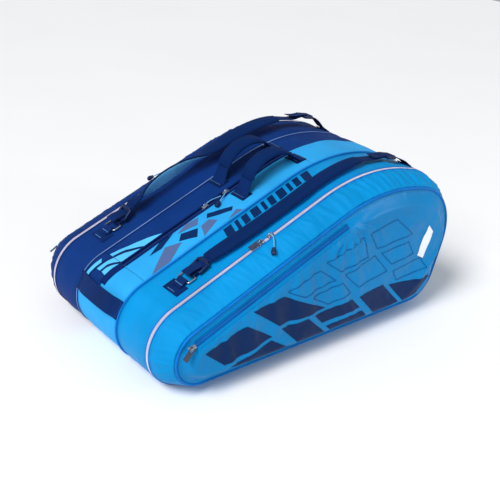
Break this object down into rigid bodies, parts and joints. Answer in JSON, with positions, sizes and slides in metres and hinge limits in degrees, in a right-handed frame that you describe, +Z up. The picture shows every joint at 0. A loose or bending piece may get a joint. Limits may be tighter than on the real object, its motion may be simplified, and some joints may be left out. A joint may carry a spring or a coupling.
{
  "type": "racket tournament bag",
  "caption": "Wedge-shaped racket bag: zipped compartments side by side, sloping top, padded shoulder straps, grab handles and zipped end pockets.",
  "frame": {"origin": "on the ground plane under the middle of the bag's flat bottom", "axes": "+X along the bag towards its wide end, +Y from the front panel to the rear panel, +Z up"},
  "size_m": [0.7712, 0.4928, 0.3609],
  "materials": {
    "navy_fabric": "woven polyester",
    "blue_fabric": "woven polyester",
    "coated_blue": "glossy film-coated fabric",
    "coated_navy": "glossy film-coated fabric",
    "lining": "foam covered in lining cloth",
    "piping": "satin bias tape over cord",
    "zip_coil": "moulded coil on woven tape",
    "webbing": "woven webbing",
    "padding": "padded, stitched edges",
    "hard_plastic": "moulded",
    "metal": "cast, polished",
    "cord": "braided",
    "cap": "moulded soft plastic"
  },
  "bodies": {
    "bag_core": {"front_inner_gusset": "navy_fabric", "rear_inner_gusset": "navy_fabric", "middle_shell": "navy_fabric", "front_divider": "lining", "rear_divider": "lining", "front_bottom_strip": "blue_fabric", "rear_bottom_strip": "navy_fabric", "front_seam_piping": "piping", "rear_seam_piping": "piping", "end_handle": "navy_fabric", "strap_low_anchors": "navy_fabric", "strap_high_anchors": "navy_fabric", "strap_rings": "hard_plastic"},
    "front_flap_body": {"front_flap": "navy_fabric", "middle_zip_coil": "zip_coil", "front_handle_feet": "navy_fabric"},
    "rear_flap_body": {"rear_flap": "navy_fabric", "rear_handle_feet": "navy_fabric"},
    "middle_slider_low_body": {"middle_slider_low": "metal", "middle_cord_low": "cord"},
    "middle_slider_high_body": {"middle_slider_high": "metal", "middle_cord_high": "cord", "middle_cord_cap": "cap"},
    "front_cover": {"front_outer_gusset": "blue_fabric", "front_zip_coil": "zip_coil", "front_panel": "coated_blue", "front_panel_piping": "piping", "front_pocket": "coated_blue", "front_pocket_coil": "zip_coil"},
    "front_handle_body": {"front_handle": "webbing", "front_handle_grip": "padding"},
    "front_strap_body": {"front_strap_pad": "padding", "front_strap_webbing": "webbing", "front_strap_ladder_locks": "hard_plastic"},
    "front_slider_low_body": {"front_slider_low": "metal"},
    "front_slider_high_body": {"front_slider_high": "metal", "front_cord": "cord", "front_cord_cap": "cap"},
    "front_link_body": {"front_link": "metal"},
    "front_pocket_slider_body": {"front_pocket_slider": "metal"},
    "front_pocket_link_body": {"front_pocket_link": "metal"},
    "rear_cover": {"rear_outer_gusset": "navy_fabric", "rear_zip_coil": "zip_coil", "rear_panel": "coated_navy", "rear_panel_piping": "piping", "rear_pocket": "coated_navy", "rear_pocket_coil": "zip_coil"},
    "rear_handle_body": {"rear_handle": "webbing", "rear_handle_grip": "padding"},
    "rear_strap_body": {"rear_strap_pad": "padding", "rear_strap_webbing": "webbing", "rear_strap_ladder_locks": "hard_plastic"},
    "rear_slider_low_body": {"rear_slider_low": "metal"},
    "rear_slider_high_body": {"rear_slider_high": "metal", "rear_cord": "cord", "rear_cord_cap": "cap"},
    "rear_link_body": {"rear_link": "metal"},
    "rear_pocket_slider_body": {"rear_pocket_slider": "metal"},
    "rear_pocket_link_body": {"rear_pocket_link": "metal"}
  },
  "joints": [
    {"name": "front_flap_hinge", "type": "hinge", "parent": "bag_core", "child": "front_flap_body", "pos_m": [-0.11545, -0.065, 0.2494], "axis": [0.9243, 0, 0.3815], "range_deg": [0, 70]},
    {"name": "rear_flap_hinge", "type": "hinge", "parent": "bag_core", "child": "rear_flap_body", "pos_m": [-0.11545, 0.075, 0.2494], "axis": [-0.9243, 0, -0.3815], "range_deg": [0, 45]},
    {"name": "middle_slider_low_travel", "type": "slide", "parent": "front_flap_body", "child": "middle_slider_low_body", "axis": [0.9243, 0, 0.3815], "range_m": [-0.19, 0]},
    {"name": "middle_slider_high_travel", "type": "slide", "parent": "front_flap_body", "child": "middle_slider_high_body", "axis": [0.9243, 0, 0.3815], "range_m": [0, 0.03]},
    {"name": "front_cover_hinge", "type": "hinge", "parent": "bag_core", "child": "front_cover", "pos_m": [0, -0.222, 0.02], "axis": [1, 0, 0], "range_deg": [0, 80]},
    {"name": "front_handle_tilt", "type": "hinge", "parent": "front_flap_body", "child": "front_handle_body", "pos_m": [0.00472, -0.022, 0.3016], "axis": [-0.9243, 0, -0.3815], "range_deg": [-20, 20]},
    {"name": "front_strap_sway", "type": "hinge", "parent": "bag_core", "child": "front_strap_body", "pos_m": [-0.25639, -0.128, 0.19772], "axis": [0.9778, 0, 0.2097], "range_deg": [-8, 8]},
    {"name": "front_slider_low_travel", "type": "slide", "parent": "front_cover", "child": "front_slider_low_body", "axis": [0.9243, 0, 0.3815], "range_m": [-0.195, 0]},
    {"name": "front_slider_high_travel", "type": "slide", "parent": "front_cover", "child": "front_slider_high_body", "axis": [0.9243, 0, 0.3815], "range_m": [0, 0.12]},
    {"name": "front_link_swing", "type": "hinge", "parent": "front_slider_low_body", "child": "front_link_body", "pos_m": [-0.13506, -0.17, 0.24974], "axis": [0, 1, 0], "range_deg": [0, 150]},
    {"name": "front_pocket_slider_travel", "type": "slide", "parent": "front_cover", "child": "front_pocket_slider_body", "axis": [0.9243, 0, 0.3815], "range_m": [0, 0.33]},
    {"name": "front_pocket_link_swing", "type": "hinge", "parent": "front_pocket_slider_body", "child": "front_pocket_link_body", "pos_m": [-0.33024, -0.23849, 0.11978], "axis": [-0.6202, 0.498, 0.6061], "range_deg": [0, 100]},
    {"name": "rear_cover_hinge", "type": "hinge", "parent": "bag_core", "child": "rear_cover", "pos_m": [0, 0.222, 0.02], "axis": [-1, 0, 0], "range_deg": [0, 80]},
    {"name": "rear_handle_tilt", "type": "hinge", "parent": "rear_flap_body", "child": "rear_handle_body", "pos_m": [0.00472, 0.054, 0.3016], "axis": [0.9243, 0, 0.3815], "range_deg": [-20, 20]},
    {"name": "rear_strap_sway", "type": "hinge", "parent": "bag_core", "child": "rear_strap_body", "pos_m": [-0.25639, 0.128, 0.19772], "axis": [-0.9778, 0, -0.2097], "range_deg": [-8, 8]},
    {"name": "rear_slider_low_travel", "type": "slide", "parent": "rear_cover", "child": "rear_slider_low_body", "axis": [0.9243, 0, 0.3815], "range_m": [-0.195, 0]},
    {"name": "rear_slider_high_travel", "type": "slide", "parent": "rear_cover", "child": "rear_slider_high_body", "axis": [0.9243, 0, 0.3815], "range_m": [0, 0.12]},
    {"name": "rear_link_swing", "type": "hinge", "parent": "rear_slider_low_body", "child": "rear_link_body", "pos_m": [-0.13506, 0.17, 0.24974], "axis": [0, 1, 0], "range_deg": [0, 150]},
    {"name": "rear_pocket_slider_travel", "type": "slide", "parent": "rear_cover", "child": "rear_pocket_slider_body", "axis": [0.9243, 0, 0.3815], "range_m": [0, 0.33]},
    {"name": "rear_pocket_link_swing", "type": "hinge", "parent": "rear_pocket_slider_body", "child": "rear_pocket_link_body", "pos_m": [-0.33024, 0.23849, 0.11978], "axis": [0.6202, 0.498, -0.6061], "range_deg": [0, 100]}
  ]
}
